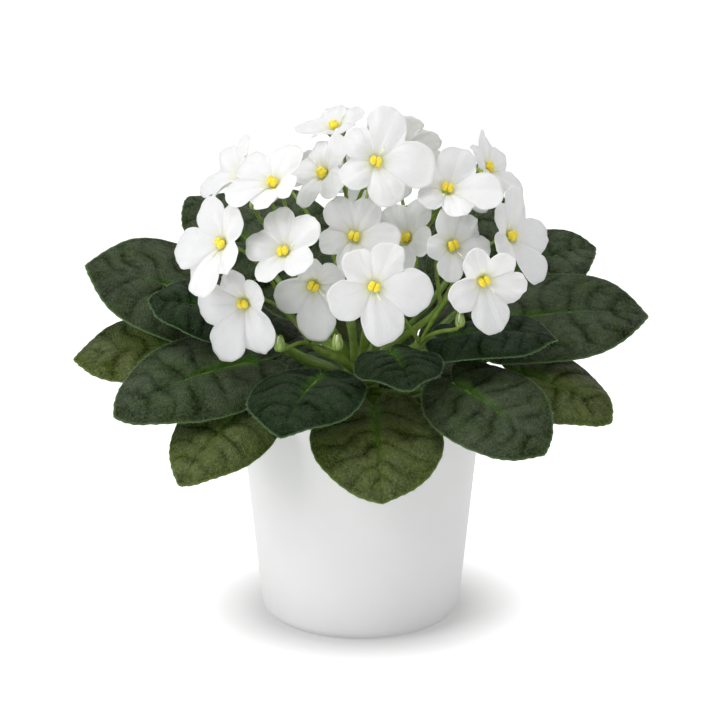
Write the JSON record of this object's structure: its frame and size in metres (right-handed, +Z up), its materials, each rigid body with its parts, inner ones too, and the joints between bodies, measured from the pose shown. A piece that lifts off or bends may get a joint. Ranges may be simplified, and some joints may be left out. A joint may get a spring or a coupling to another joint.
{
  "type": "potted african violet",
  "caption": "Potted flowering plant with a rosette of velvety heart-shaped leaves and a dome of white five-petalled blooms, in a smooth tapered white pot.",
  "frame": {"origin": "centre of the pot's flat underside", "axes": "+Z up out of the pot, -Y towards the front of the plant, +X to its right as seen from the front"},
  "size_m": [0.281, 0.2007, 0.2622],
  "materials": {
    "pot_white": "satin",
    "soil_brown": "matte",
    "leaf_green": "matte",
    "stalk_green": "satin",
    "petal_white": "matte",
    "anther_yellow": "matte"
  },
  "bodies": {
    "root": {"pot": "pot_white", "soil": "soil_brown", "flower_stalks": "stalk_green", "leaf_01": "leaf_green", "leaf_02": "leaf_green", "leaf_03": "leaf_green", "leaf_04": "leaf_green", "leaf_05": "leaf_green", "leaf_06": "leaf_green", "leaf_07": "leaf_green", "leaf_08": "leaf_green", "leaf_09": "leaf_green", "leaf_10": "leaf_green", "leaf_11": "leaf_green", "leaf_12": "leaf_green", "leaf_13": "leaf_green", "leaves_left": "leaf_green", "leaves_right": "leaf_green", "bloom_01": "petal_white", "bloom_02": "petal_white", "bloom_03": "petal_white", "bloom_04": "petal_white", "bloom_05": "petal_white", "bloom_06": "petal_white", "bloom_07": "petal_white", "bloom_08": "petal_white", "bloom_09": "petal_white", "bloom_10": "petal_white", "bloom_11": "petal_white", "bloom_12": "petal_white", "bloom_13": "petal_white", "bloom_14": "petal_white", "bloom_15": "petal_white", "bloom_16": "petal_white", "bloom_17": "petal_white", "bloom_18": "petal_white", "bloom_19": "petal_white", "bloom_20": "petal_white", "bloom_21": "petal_white", "anthers_01": "anther_yellow", "anthers_02": "anther_yellow", "anthers_03": "anther_yellow", "anthers_04": "anther_yellow", "anthers_05": "anther_yellow", "anthers_06": "anther_yellow", "anthers_07": "anther_yellow", "anthers_08": "anther_yellow", "anthers_09": "anther_yellow", "anthers_10": "anther_yellow", "anthers_11": "anther_yellow", "anthers_12": "anther_yellow", "anthers_13": "anther_yellow", "anthers_14": "anther_yellow", "anthers_15": "anther_yellow", "anthers_16": "anther_yellow", "anthers_17": "anther_yellow", "anthers_18": "anther_yellow", "anthers_19": "anther_yellow", "anthers_20": "anther_yellow", "anthers_21": "anther_yellow"}
  },
  "joints": []
}
